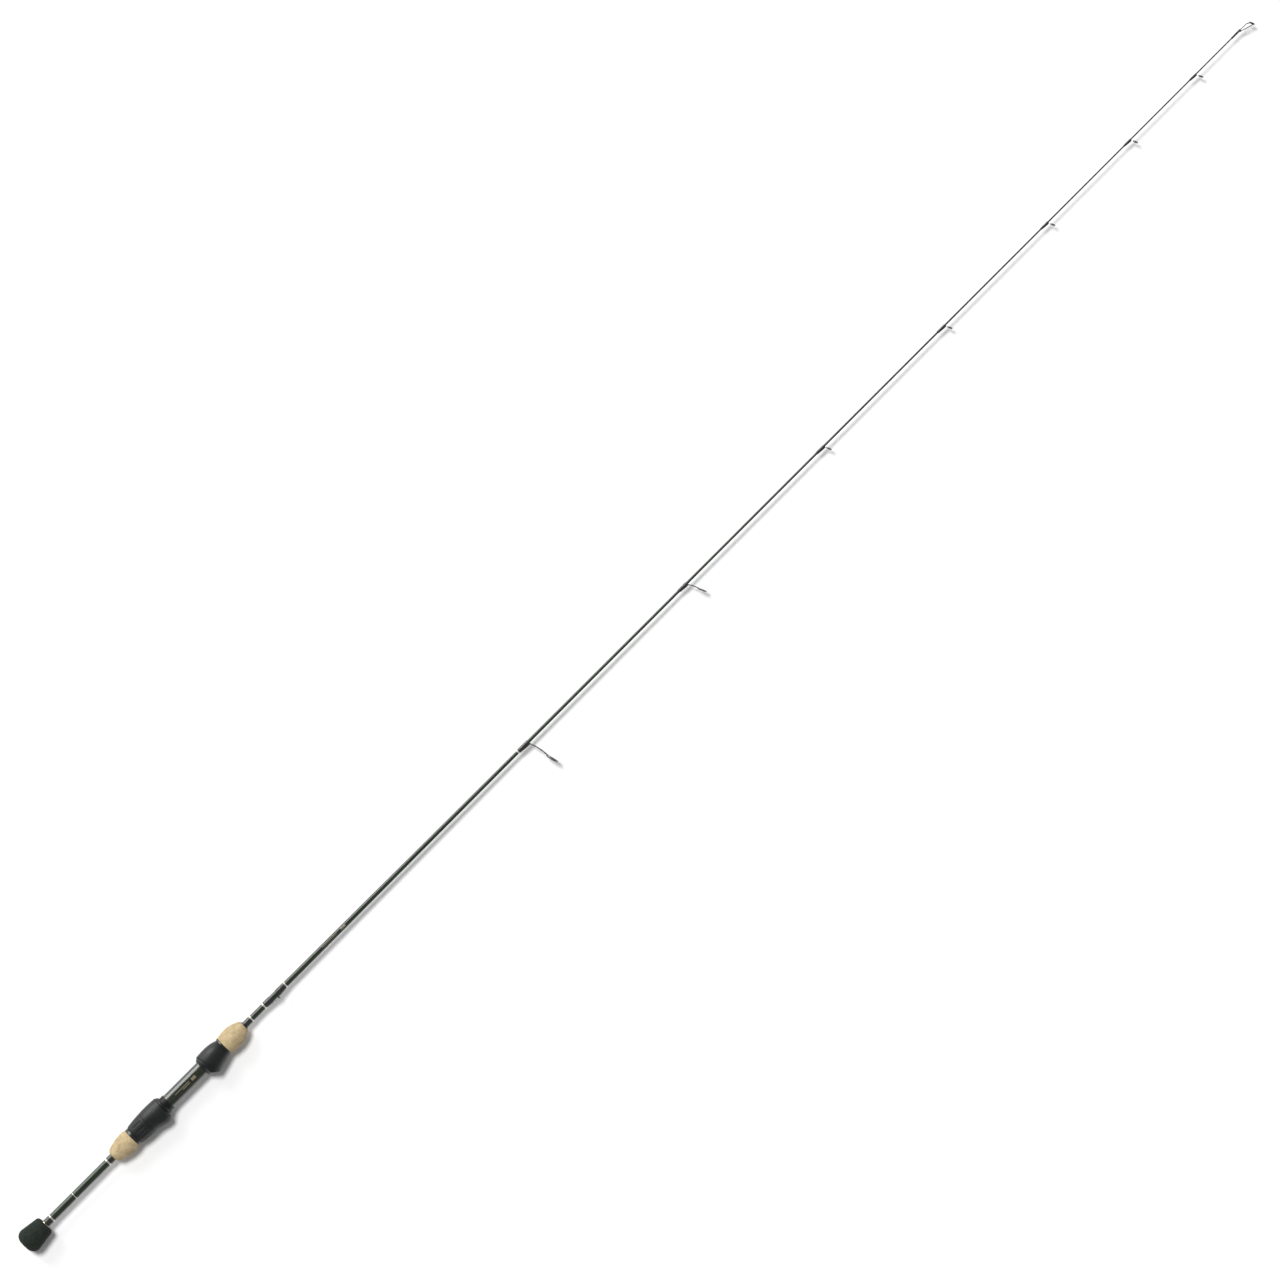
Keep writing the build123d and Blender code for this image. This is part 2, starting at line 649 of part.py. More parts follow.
def leg(start, end, thickness, start_width, end_width, open_frame):
    """Tapered leg from the foot to the ring; a tall one is bowed and open in the middle."""
    run = Vector(end[0] - start[0], end[1] - start[1], 0)
    face = Plane(origin=(start[0], start[1], 0), x_dir=run, z_dir=run.cross(Vector(0, 0, 1)))
    length = run.length
    bow = length * TALL_LEG_BOW if open_frame else 0
    outline = Polyline((0, -start_width / 2), (length, -end_width / 2), (length, end_width / 2),
                       (0, start_width / 2), close=True)
    plate = extrude(face * make_face(outline), thickness / 2 + bow, both=True)
    if open_frame:
        plate &= bowed_strip(start, end, bow, thickness)
        margin = thickness * LEG_WINDOW_MARGIN
        near = length * LEG_WINDOW_START
        near_half = (start_width + (end_width - start_width) * LEG_WINDOW_START) / 2 - margin
        far = length * 1.2
        far_half = end_width / 2 - margin
        window = Polyline((near, -near_half), (far, -far_half), (far, far_half),
                          (near, near_half), close=True)
        plate -= extrude(face * make_face(window), thickness + bow, both=True)
    return plate


def guide_frame(row):
    """Foot, leg and ring holder of one line guide, in one piece."""
    x0, x1, ring_x, distance, diameter, lean, _, thickness = row
    outer, seat, _, width = ring_sizes(diameter)
    angle = math.radians(lean)
    tall = distance > TALL_GUIDE * diameter
    reach = outer * (TALL_LEG_REACH if tall else LOW_LEG_REACH)
    top_width = diameter * (TALL_LEG_WIDTH if tall else LOW_LEG_WIDTH)
    height = thickness * FOOT_HEIGHT
    heel = x1 + FOOT_HEEL
    start = (heel - thickness / 2, -outside_radius(x1) - thickness * 0.35)
    end_x = ring_x - math.sin(angle) * reach + (width * TALL_LEG_SHIFT if tall else 0)
    end = (end_x, -distance + math.cos(angle) * reach)
    foot_width = min(diameter * FOOT_WIDTH, outside_radius(x1) * FOOT_MOST_WIDTH)
    body = strip_on_blank([(x0 + FOOT_TOE, height * FOOT_TOE_HEIGHT), (heel, height)], foot_width)
    body += leg(start, end, thickness, foot_width, top_width, tall)
    place = ring_plane(ring_x, distance, lean)
    body -= place * Cylinder(seat, width * 4)
    body += ring_frame(place, diameter)
    return body - blank_space(x0, heel + outer)


def guide_wrap(row, frame):
    """Winding over one guide's foot, up to its leg."""
    x0, x1, _, _, _, _, build, thickness = row
    return wrap_over_foot(x0, x1, build, thickness * FOOT_HEIGHT) - frame


def wire(points, radius, bend):
    """Round wire through the points, with rounded corners."""
    path = FilletPolyline(*points, radius=bend) if len(points) > 2 else Line(*points)
    start = Plane(origin=path @ 0, z_dir=path % 0)
    return sweep(start * Circle(radius), path=path)


def tip_top_tube():
    """Tube glued over the blank's tip."""
    x0, x1 = TIP_TUBE
    blank_end = BLANK_STATIONS[-1][0]
    outline = [
        (x0, outside_radius(x0)), (x0, TIP_TUBE_R), (x1, TIP_TUBE_R), (x1, 0),
        (blank_end, 0), (blank_end, outside_radius(blank_end)),
    ]
    return turned(outline, [(x1, TIP_TUBE_R, TIP_TUBE_ROUND)])


def tip_top_frame():
    """Ring holder with two upper wires and two lower braces back to the tube."""
    outer, seat, _, width = ring_sizes(TIP_RING_DIAMETER)
    place = ring_plane(TIP_RING_X, TIP_RING_HEIGHT, TIP_RING_LEAN)
    reach = (outer + seat) / 2
    frame = Part() + ring_frame(place, TIP_RING_DIAMETER)
    knee_x, knee_y, knee_z = TIP_ARM_KNEE
    brace_x, brace_z = TIP_BRACE_START
    for side in (-1, 1):
        arm = [
            (TIP_TUBE[1] + TIP_ARM_START, 0, side * TIP_TUBE_R),
            (TIP_RING_X + knee_x, knee_y, side * knee_z),
            ring_point(place, reach, side * TIP_ARM_ANGLE),
        ]
        brace = [
            (TIP_TUBE[1] + brace_x, -TIP_TUBE_R, side * brace_z),
            ring_point(place, reach, side * TIP_BRACE_ANGLE),
        ]
        frame += wire(arm, TIP_WIRE_R, TIP_WIRE_BEND)
        frame += wire(brace, TIP_WIRE_R, 0)
    frame -= place * Cylinder(seat, width * 1.2)
    return frame - tip_top_tube() - blank_space(TIP_TUBE[0], BLANK_STATIONS[-1][0])


def build_rod():
    """All pieces by name."""
    pieces = {
        "blank": blank(),
        "butt_cap": butt_cap(),
        "butt_trim_ring": collar(CAP_LENGTH, CAP_LENGTH + CAP_RING_LENGTH, CAP_RING_R),
        "rear_cork_grip": rear_cork_grip(),
        "rear_trim_ring": collar(TRIM_RING_START, SEAT_START, TRIM_RING_R, TRIM_RING_CORNER),
        "seat_tube": tube(SEAT_START, SEAT_END, TUBE_R, TUBE_BORE_R),
        "rear_arbor": arbor(*REAR_ARBOR),
        "front_arbor": arbor(*FRONT_ARBOR),
        "threaded_barrel": threaded_barrel(),
        "lock_nut": lock_nut(),
        "moving_hood": moving_hood(),
        "moving_hood_liner": moving_hood_liner(),
        "fixed_hood": fixed_hood(),
        "fixed_hood_liner": fixed_hood_liner(),
        "front_trim_ring": collar(SEAT_END, FORE_CORK_START, TRIM_RING_R, TRIM_RING_CORNER),
        "fore_cork_grip": fore_cork_grip(),
        "winding_check": collar(FORE_CORK_END, FORE_CORK_END + CHECK_LENGTH, CHECK_R),
        "keeper_rear_wrap": keeper_rear_wrap(),
        "keeper_front_wrap": keeper_front_wrap(),
        "hook_keeper_base": hook_keeper_base(),
        "hook_keeper_loop": hook_keeper_loop(),
        "tip_top_tube": tip_top_tube(),
        "tip_top_frame": tip_top_frame(),
        "tip_top_ring": ring_insert(
            ring_plane(TIP_RING_X, TIP_RING_HEIGHT, TIP_RING_LEAN), TIP_RING_DIAMETER),
    }
    for name, (x0, x1) in PLAIN_WRAPS.items():
        pieces[name] = plain_wrap(x0, x1, WRAP_BUILD)
    for name, (x0, x1) in BANDS.items():
        pieces[name] = band(x0, x1)
    pieces["butt_stripe"] = plain_wrap(*STRIPE, STRIPE_BUILD)
    for number, row in enumerate(GUIDES, 1):
        _, _, ring_x, distance, diameter, lean, _, _ = row
        frame = guide_frame(row)
        pieces[f"guide_{number}_frame"] = frame
        pieces[f"guide_{number}_ring"] = ring_insert(ring_plane(ring_x, distance, lean), diameter)
        pieces[f"guide_{number}_wrap"] = guide_wrap(row, frame)
    return pieces


os.makedirs("parts", exist_ok=True)
for name, solid in build_rod().items():
    export_step(solid, f"parts/{name}.step")
    print(f"{name:22s} {solid.volume:10.2f} mm3")
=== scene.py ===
import json
import math

import bpy
import numpy as np
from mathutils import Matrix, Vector


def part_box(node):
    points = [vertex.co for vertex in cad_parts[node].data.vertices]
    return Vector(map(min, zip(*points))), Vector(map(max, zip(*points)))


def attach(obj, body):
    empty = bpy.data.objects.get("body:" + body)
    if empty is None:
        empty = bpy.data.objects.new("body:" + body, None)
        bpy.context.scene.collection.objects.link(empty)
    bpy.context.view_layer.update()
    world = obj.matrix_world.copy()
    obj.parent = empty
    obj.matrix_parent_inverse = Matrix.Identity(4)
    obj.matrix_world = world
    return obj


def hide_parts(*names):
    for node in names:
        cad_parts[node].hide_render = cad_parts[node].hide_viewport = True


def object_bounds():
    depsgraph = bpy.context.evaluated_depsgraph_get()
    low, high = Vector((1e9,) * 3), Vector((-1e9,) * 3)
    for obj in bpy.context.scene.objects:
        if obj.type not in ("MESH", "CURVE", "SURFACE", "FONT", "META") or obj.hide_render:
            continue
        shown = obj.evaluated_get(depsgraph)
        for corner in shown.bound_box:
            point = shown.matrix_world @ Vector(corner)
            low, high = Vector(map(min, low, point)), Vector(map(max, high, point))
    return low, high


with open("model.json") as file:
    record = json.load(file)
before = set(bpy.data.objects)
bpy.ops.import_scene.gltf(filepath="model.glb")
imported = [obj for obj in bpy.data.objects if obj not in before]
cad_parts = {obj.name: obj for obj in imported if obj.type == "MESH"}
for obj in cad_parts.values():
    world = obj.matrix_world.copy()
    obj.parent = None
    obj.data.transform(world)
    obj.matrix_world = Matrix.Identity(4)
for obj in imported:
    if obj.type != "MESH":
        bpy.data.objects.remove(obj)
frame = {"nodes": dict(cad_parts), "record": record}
cad_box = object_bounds()

# All lengths are in metres. The rod's centre line is the X axis, its tip points to +X,
# and the reel and the guides are on the -Y side.
MM = 0.001
NODES = frame["nodes"]

# Windings: one turn of the thread, and how far each turn stands out under the clear coat
THREAD = 0.19 * MM
THREAD_RELIEF = 0.008 * MM
METAL_THREAD = 0.2 * MM
METAL_RELIEF = 0.03 * MM
SAMPLES_PER_TURN = 5
THREAD_SEGMENTS = 64
METAL_SEGMENTS = 96
# How far a winding's outline is evened out along X, over a foot and elsewhere
FOOT_SOFTENING = 0.7 * MM
WRAP_SOFTENING = 0.25 * MM

# How far the inside of a new mesh lies under the surface that it sits on
SUNK = 0.04 * MM

# Edges sharper than this many degrees stay sharp on a new mesh
SHARP_EDGE = 35.0

# Reading a profile from a mesh: an edge counts at an X that it comes this near,
# one with less run than the second figure is level, and the last keeps a quotient finite
NEAR_X = 1e-7
LEVEL_RUN = 1e-9
LEAST_RUN = 1e-12

# Cork: the grid that it is carved on, the pits and the seam between two glued rings
CORK_STEP = 0.17 * MM
CORK_SEGMENTS = 384
CORK_PITS = 560
# A pit's half width in millimetres: the least, and the most that is added to it
PIT_SIZE = (0.06, 0.30)
# How much longer than wide a pit may be, how far its direction strays, its least depth
# and what is added to it as shares of its size, and how ragged its outline is
PIT_STRETCH = 2.6
PIT_STRAY = 0.5
PIT_DEPTH = (0.35, 0.3)
PIT_RAGGED = 0.25
PIT_LOBES = 5
# How quickly a pit darkens from its rim, and its least darkness and what is added to it
PIT_EDGE = 1.8
PIT_DARK = (0.55, 0.4)
CORK_SEAM_DEPTH = 0.035 * MM
CORK_SEAM_WIDTH = 0.09 * MM
CORK_SEAM_SHADE = 0.32
CORK_GRAIN = 0.012 * MM

# Foam cap
CAP_STEP = 0.22 * MM
CAP_SEGMENTS = 320
CAP_GRAIN = 0.02 * MM
CAP_SEED = 11

# Plain gold bars printed on the reel seat's tube and on the blank, facing +Z:
# (X start, X end, Y start, Y end) in millimetres
SEAT_BARS = [
    (206.5, 225.5, 0.3, -0.5), (215.5, 225.5, -1.4, -2.2), (228.0, 233.5, 0.6, -2.4),
]
BLANK_BARS = [
    (407.5, 427.5, 0.3, -0.3), (432.5, 439.0, 0.9, -0.9),
]
BAR_THICKNESS = 0.03 * MM
BAR_ROWS = 25
BAR_COLUMNS = 13
# A bar is narrower by this share at its ends, and the power keeps that to the corners
BAR_END_TRIM = 0.35
BAR_CORNER_POWER = 14

# Framing: what the picture is centred on, and how much of the ground it takes in
VIEW_CENTRE = (836.1 * MM, -5.5 * MM)
VIEW_WIDTH = 1237.2 * MM
VIEW_TURN = -45.0
LENS = 250.0
SENSOR = 36.0
CLIP_END = 200.0

# Stage: half the ground's side, the key light, the softbox and the surround.
# Angles are in degrees, lengths in metres.
GROUND_HALF = 40.0
KEY_ELEVATION = 67.0
KEY_STRENGTH = 2.5
KEY_SPREAD = 17.0
PANEL_PLACE = Vector((0.84, 18.3, 8.1))
PANEL_AIM = Vector((0.84, 0, 0))
PANEL_SIZE = (5.8, 16.2)
PANEL_POWER = 2250.0
SURROUND_STRENGTH = 0.27


# ---------------------------------------------------------------- measuring the frame

def mesh_arrays(node):
    """Vertex positions and edges of a CAD node, in metres."""
    mesh = NODES[node].data
    points = np.empty(len(mesh.vertices) * 3)
    mesh.vertices.foreach_get("co", points)
    edges = np.empty(len(mesh.edges) * 2, dtype=np.int64)
    mesh.edges.foreach_get("vertices", edges)
    return points.reshape(-1, 3), edges.reshape(-1, 2)


def highest_along(node, stations, value):
    """For each X in stations, the most that value(points) reaches on the node's edges there."""
    points, edges = mesh_arrays(node)
    first, second = points[edges[:, 0]], points[edges[:, 1]]
    swap = first[:, 0] > second[:, 0]
    first[swap], second[swap] = second[swap].copy(), first[swap].copy()
    x0, x1 = first[:, 0], second[:, 0]
    v0, v1 = value(first), value(second)
    found = []
    for x in stations:
        near = (x0 <= x + NEAR_X) & (x1 >= x - NEAR_X)
        run = np.maximum(x1[near] - x0[near], LEAST_RUN)
        share = np.clip((x - x0[near]) / run, 0, 1)
        level = (x1[near] - x0[near]) < LEVEL_RUN
        values = v0[near] + (v1[near] - v0[near]) * share
        values[level] = np.maximum(v0[near], v1[near])[level]
        found.append(values.max())
    return np.array(found)


def outer_radius(node, stations):
    """Outside radius of a round node at each X."""
    return highest_along(node, stations, lambda p: np.hypot(p[:, 1], p[:, 2]))


def outer_section(node, stations):
    """How far a node reaches at each X: towards +Y, towards -Y and to either side in Z."""
    top = highest_along(node, stations, lambda p: p[:, 1])
    reel = highest_along(node, stations, lambda p: -p[:, 1])
    side = highest_along(node, stations, lambda p: np.abs(p[:, 2]))
    return top, reel, side


def ends(node):
    """First and last X of a node."""
    low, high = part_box(node)
    return low.x, high.x


# ---------------------------------------------------------------- building meshes

def new_mesh(name, verts, faces, body, material_used):
    """Mesh object on a body, smooth except at sharp edges."""
    mesh = bpy.data.meshes.new(name)
    mesh.from_pydata([tuple(v) for v in verts], [], faces)
    mesh.update()
    mesh.shade_smooth()
    mesh.set_sharp_from_angle(angle=math.radians(SHARP_EDGE))
    obj = bpy.data.objects.new(name, mesh)
    bpy.context.scene.collection.objects.link(obj)
    mesh.materials.append(material_used)
    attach(obj, body)
    return obj


def tube_faces(rings, segments, closed):
    """Quads between rings of equal length; closed joins the last ring to the first."""
    faces = []
    count = rings if closed else rings - 1
    for i in range(count):
        a = i * segments
        b = ((i + 1) % rings) * segments
        for j in range(segments):
            k = (j + 1) % segments
            faces.append((a + j, b + j, b + k, a + k))
    return faces


def grid_points(stations, radii, segments):
    """Points around X: radii is one value or one row of values per station."""
    theta = np.linspace(0, 2 * math.pi, segments, endpoint=False)
    radii = np.broadcast_to(np.reshape(radii, (len(stations), -1)), (len(stations), segments))
    x = np.broadcast_to(np.reshape(stations, (-1, 1)), radii.shape)
    return np.stack([x, radii * np.cos(theta), radii * np.sin(theta)], axis=-1)


def ellipse_radii(top, reel, side, theta):
    """Radius at each angle from the centre line of the ellipse through the four reaches."""
    middle = (top - reel) / 2
    a = (top + reel) / 2
    c, s = np.cos(theta)[None, :], np.sin(theta)[None, :]
    m, a, b = middle[:, None], a[:, None], side[:, None]
    p = (c / a) ** 2 + (s / b) ** 2
    q = -2 * c * m / a ** 2
    r = (m / a) ** 2 - 1
    return (-q + np.sqrt(np.maximum(q * q - 4 * p * r, 0))) / (2 * p)


def smoothed(values, steps):
    """Moving average along the first axis, with the ends held."""
    if steps < 2:
        return values
    padded = np.concatenate([values[:1].repeat(steps, 0), values, values[-1:].repeat(steps, 0)])
    kernel = np.hanning(2 * steps + 1)
    kernel /= kernel.sum()
    columns = padded.reshape(len(padded), -1)
    done = np.stack([np.convolve(c, kernel, mode="same") for c in columns.T], axis=1)
    return done[steps:-steps].reshape(values.shape)


def solid_around_blank(name, stations, radii, segments, material_used):
    """Closed sleeve: the given outside, and an inside just under the blank's surface."""
    outside = grid_points(stations, radii, segments)
    inner = outer_radius("blank", stations) - SUNK
    inside = grid_points(stations[::-1], inner[::-1], segments)
    verts = np.concatenate([outside, inside]).reshape(-1, 3)
    faces = tube_faces(2 * len(stations), segments, closed=True)
    return new_mesh(name, verts, faces, "rod", material_used)


# ---------------------------------------------------------------- materials

def material(name, base, roughness, metallic=0.0, coat=0.0, coat_roughness=0.05,
             specular=0.5):
    """Principled material and its node tree, with the even values on the shader's sockets."""
    made = bpy.data.materials.new(name)
    made.use_nodes = True
    tree = made.node_tree
    shader = tree.nodes["Principled BSDF"]
    shader.inputs["Base Color"].default_value = (*base, 1.0)
    shader.inputs["Roughness"].default_value = roughness
    shader.inputs["Metallic"].default_value = metallic
    shader.inputs["Coat Weight"].default_value = coat
    shader.inputs["Coat Roughness"].default_value = coat_roughness
    shader.inputs["Specular IOR Level"].default_value = specular
    return made, tree, shader


def add(tree, kind, **inputs):
    """New node with its inputs set by name."""
    node = tree.nodes.new(kind)
    for key, value in inputs.items():
        node.inputs[key.replace("_", " ")].default_value = value
    return node


def coordinates(tree, scale=(1.0, 1.0, 1.0)):
    """The object's own coordinates, which are the frame's, with a scale for each axis."""
    place = tree.nodes.new("ShaderNodeTexCoord")
    mapping = tree.nodes.new("ShaderNodeMapping")
    mapping.inputs["Scale"].default_value = scale
    tree.links.new(place.outputs["Object"], mapping.inputs["Vector"])
    return mapping.outputs["Vector"]


def noise(tree, vector, scale, detail=3.0, roughness=0.55):
    """Noise with its factor as the output."""
    node = add(tree, "ShaderNodeTexNoise", Scale=scale, Detail=detail, Roughness=roughness)
    tree.links.new(vector, node.inputs["Vector"])
    return node.outputs["Fac"]


def ramp(tree, factor, stops):
    """Colour ramp through (position, colour) stops."""
    node = tree.nodes.new("ShaderNodeValToRGB")
    elements = node.color_ramp.elements
    while len(elements) < len(stops):
        elements.new(0.5)
    for element, (position, color) in zip(elements, stops):
        element.position = position
        element.color = (*color, 1.0)
    tree.links.new(factor, node.inputs["Fac"])
    return node.outputs["Color"]


def mixed(tree, factor, low, high):
    """Number that runs from low to high with the factor."""
    node = tree.nodes.new("ShaderNodeMapRange")
    node.inputs["To Min"].default_value = low
    node.inputs["To Max"].default_value = high
    tree.links.new(factor, node.inputs["Value"])
    return node.outputs["Result"]


def darkened(tree, color, factor, dark):
    """The colour, turned to dark where the factor is 1."""
    node = tree.nodes.new("ShaderNodeMix")
    node.data_type = "RGBA"
    node.inputs["B"].default_value = (*dark, 1.0)
    tree.links.new(factor, node.inputs["Factor"])
    tree.links.new(color, node.inputs["A"])
    return node.outputs["Result"]


def bump(tree, shader, height, strength, distance, coat_too=False):
    """Bump from a height, on the base layer and on the coat if asked."""
    node = add(tree, "ShaderNodeBump", Strength=strength, Distance=distance)
    tree.links.new(height, node.inputs["Height"])
    tree.links.new(node.outputs["Normal"], shader.inputs["Normal"])
    if coat_too:
        tree.links.new(node.outputs["Normal"], shader.inputs["Coat Normal"])


def foam_material():
    """Matt closed-cell foam: fine cells, faint mottling."""
    made, tree, shader = material("foam", (0.012, 0.017, 0.013), 0.8, specular=0.22)
    place = coordinates(tree)
    mottle = noise(tree, place, 420.0, 4.0)
    cells = noise(tree, place, 2600.0, 2.0)
    color = ramp(tree, mottle, [(0.3, (0.012, 0.017, 0.013)), (0.7, (0.022, 0.029, 0.023))])
    tree.links.new(color, shader.inputs["Base Color"])
    tree.links.new(mixed(tree, cells, 0.72, 0.92), shader.inputs["Roughness"])
    bump(tree, shader, cells, 0.5, 0.00008)
    return made


def cork_material():
    """Sanded cork: pale tan with grain, darker in the pits and at the glue seam."""
    made, tree, shader = material("cork", (0.47, 0.37, 0.215), 0.7, specular=0.3)
    clouds = noise(tree, coordinates(tree), 190.0, 5.0, 0.6)
    grain = noise(tree, coordinates(tree, (2.6, 1.0, 1.0)), 900.0, 6.0, 0.65)
    color = ramp(tree, clouds, [
        (0.25, (0.37, 0.275, 0.15)), (0.5, (0.47, 0.37, 0.215)), (0.75, (0.56, 0.46, 0.285)),
    ])
    fleck = ramp(tree, grain, [(0.33, (1, 1, 1)), (0.46, (0, 0, 0))])
    fleck_share = add(tree, "ShaderNodeMath")
    fleck_share.operation = "MULTIPLY"
    fleck_share.inputs[1].default_value = 0.4
    tree.links.new(fleck, fleck_share.inputs[0])
    color = darkened(tree, color, fleck_share.outputs["Value"], (0.34, 0.21, 0.10))
    pit = tree.nodes.new("ShaderNodeAttribute")
    pit.attribute_name = "pit"
    color = darkened(tree, color, pit.outputs["Fac"], (0.20, 0.115, 0.05))
    tree.links.new(color, shader.inputs["Base Color"])
    tree.links.new(mixed(tree, grain, 0.62, 0.86), shader.inputs["Roughness"])
    bump(tree, shader, grain, 0.35, 0.0001)
    return made


def blank_material():
    """Translucent dark green lacquer over fine fibre that runs along the blank."""
    made, tree, shader = material("blank_lacquer", (0.012, 0.02, 0.012), 0.3, coat=0.45,
                                  coat_roughness=0.09)
    fibre = noise(tree, coordinates(tree, (0.04, 1.0, 1.0)), 1900.0, 3.0)
    clouds = noise(tree, coordinates(tree, (0.35, 1.0, 1.0)), 60.0, 2.0)
    color = ramp(tree, fibre, [(0.35, (0.005, 0.011, 0.004)), (0.68, (0.020, 0.038, 0.014))])
    color = darkened(tree, color, mixed(tree, clouds, 0.0, 0.45), (0.006, 0.010, 0.006))
    tree.links.new(color, shader.inputs["Base Color"])
    tree.links.new(mixed(tree, fibre, 0.26, 0.42), shader.inputs["Roughness"])
    bump(tree, shader, fibre, 0.12, 0.00004)
    return made


def seat_gloss_material():
    """Polished dark green lacquer of the reel seat's tube, with a faint orange peel."""
    made, tree, shader = material("seat_gloss", (0.006, 0.011, 0.006), 0.3, coat=0.8,
                                  coat_roughness=0.11)
    clouds = noise(tree, coordinates(tree), 240.0, 3.0)
    color = ramp(tree, clouds, [(0.35, (0.006, 0.010, 0.004)), (0.7, (0.014, 0.022, 0.009))])
    tree.links.new(color, shader.inputs["Base Color"])
    bump(tree, shader, noise(tree, coordinates(tree), 700.0, 1.0), 0.05, 0.00005, coat_too=True)
    return made


def moulded_material(name, low, high, rough_low, rough_high):
    """Satin moulded plastic: fine spark texture, roughness worn a little uneven."""
    made, tree, shader = material(name, high, (rough_low + rough_high) / 2)
    clouds = noise(tree, coordinates(tree), 130.0, 4.0)
    spark = noise(tree, coordinates(tree), 5200.0, 2.0)
    tree.links.new(ramp(tree, clouds, [(0.3, low), (0.7, high)]), shader.inputs["Base Color"])
    tree.links.new(mixed(tree, clouds, rough_low, rough_high), shader.inputs["Roughness"])
    bump(tree, shader, spark, 0.28, 0.00003)
    return made


def black_gloss_material():
    """Polished black ring with a few hairlines around it."""
    made, tree, shader = material("black_gloss", (0.008, 0.009, 0.008), 0.3, coat=0.3,
                                  coat_roughness=0.12)
    lines = noise(tree, coordinates(tree, (12.0, 1.0, 1.0)), 500.0, 3.0)
    color = ramp(tree, lines, [(0.3, (0.005, 0.006, 0.005)), (0.7, (0.014, 0.015, 0.014))])
    tree.links.new(color, shader.inputs["Base Color"])
    tree.links.new(mixed(tree, lines, 0.24, 0.38), shader.inputs["Roughness"])
    return made


def turns(tree, pitch):
    """0 to 1 across each turn of a thread wound along X."""
    place = tree.nodes.new("ShaderNodeTexCoord")
    split = tree.nodes.new("ShaderNodeSeparateXYZ")
    tree.links.new(place.outputs["Object"], split.inputs["Vector"])
    angle = add(tree, "ShaderNodeMath")
    angle.operation = "MULTIPLY"
    angle.inputs[1].default_value = 2 * math.pi / pitch
    tree.links.new(split.outputs["X"], angle.inputs[0])
    wave = add(tree, "ShaderNodeMath")
    wave.operation = "COSINE"
    tree.links.new(angle.outputs["Value"], wave.inputs[0])
    node = tree.nodes.new("ShaderNodeMapRange")
    node.inputs["From Min"].default_value = -1.0
    tree.links.new(wave.outputs["Value"], node.inputs["Value"])
    return node.outputs["Result"]


def wrap_material():
    """Near-black nylon thread under a thick clear coat, with painted shade in the grooves between
    the turns.
    """
    made, tree, shader = material("winding", (0.01, 0.013, 0.009), 0.45, coat=1.0,
                                  coat_roughness=0.03)
    turn = turns(tree, THREAD)
    strands = noise(tree, coordinates(tree, (0.5, 1.0, 1.0)), 5000.0, 2.0)
    # Painted shade: the colour darkens in the groove between turns and lightens on each turn's
    # crown, following the bump.
    color = ramp(tree, turn, [(0.1, (0.004, 0.005, 0.004)), (0.8, (0.017, 0.021, 0.015))])
    color = darkened(tree, color, mixed(tree, strands, 0.0, 0.5), (0.004, 0.005, 0.004))
    tree.links.new(color, shader.inputs["Base Color"])
    tree.links.new(mixed(tree, strands, 0.36, 0.55), shader.inputs["Roughness"])
    bump(tree, shader, turn, 0.35, 0.00005)
    return made


def metal_thread_material():
    """Silver metallic thread under clear coat, with painted shade in the grooves between the
    turns.
    """
    made, tree, shader = material("metallic_thread", (0.86, 0.85, 0.80), 0.36, metallic=0.8,
                                  coat=0.5, coat_roughness=0.08)
    turn = turns(tree, METAL_THREAD)
    glint = noise(tree, coordinates(tree), 3000.0, 3.0)
    # Painted shade: the colour is darker in the groove between turns and brighter on each turn's
    # crown.
    color = ramp(tree, turn, [(0.05, (0.62, 0.61, 0.56)), (0.5, (0.93, 0.92, 0.86))])
    color = darkened(tree, color, mixed(tree, glint, 0.0, 0.25), (0.5, 0.5, 0.48))
    tree.links.new(color, shader.inputs["Base Color"])
    tree.links.new(mixed(tree, glint, 0.28, 0.46), shader.inputs["Roughness"])
    return made


def metal_material(name, low, high, rough_low, rough_high, grain=(1.0, 1.0, 1.0)):
    """Polished or plated metal with a fine uneven finish."""
    made, tree, shader = material(name, high, (rough_low + rough_high) / 2, metallic=1.0)
    finish = noise(tree, coordinates(tree, grain), 6000.0, 3.0)
    tree.links.new(ramp(tree, finish, [(0.3, low), (0.7, high)]), shader.inputs["Base Color"])
    tree.links.new(mixed(tree, finish, rough_low, rough_high), shader.inputs["Roughness"])
    bump(tree, shader, finish, 0.04, 0.00001)
    return made


def ceramic_material():
    """Polished dark ceramic of the guide rings."""
    made, tree, shader = material("ceramic", (0.03, 0.031, 0.034), 0.12, specular=0.8)
    clouds = noise(tree, coordinates(tree), 800.0, 3.0)
    color = ramp(tree, clouds, [(0.3, (0.022, 0.023, 0.026)), (0.7, (0.045, 0.046, 0.05))])
    tree.links.new(color, shader.inputs["Base Color"])
    tree.links.new(mixed(tree, clouds, 0.07, 0.18), shader.inputs["Roughness"])
    return made


def floor_material():
    """Plain pale ground with a barely uneven surface."""
    made, tree, shader = material("ground", (0.93, 0.93, 0.93), 0.9, specular=0.1)
    clouds = noise(tree, coordinates(tree), 4.0, 2.0)
    color = ramp(tree, clouds, [(0.3, (0.925, 0.925, 0.925)), (0.7, (0.94, 0.94, 0.94))])
    tree.links.new(color, shader.inputs["Base Color"])
    return made


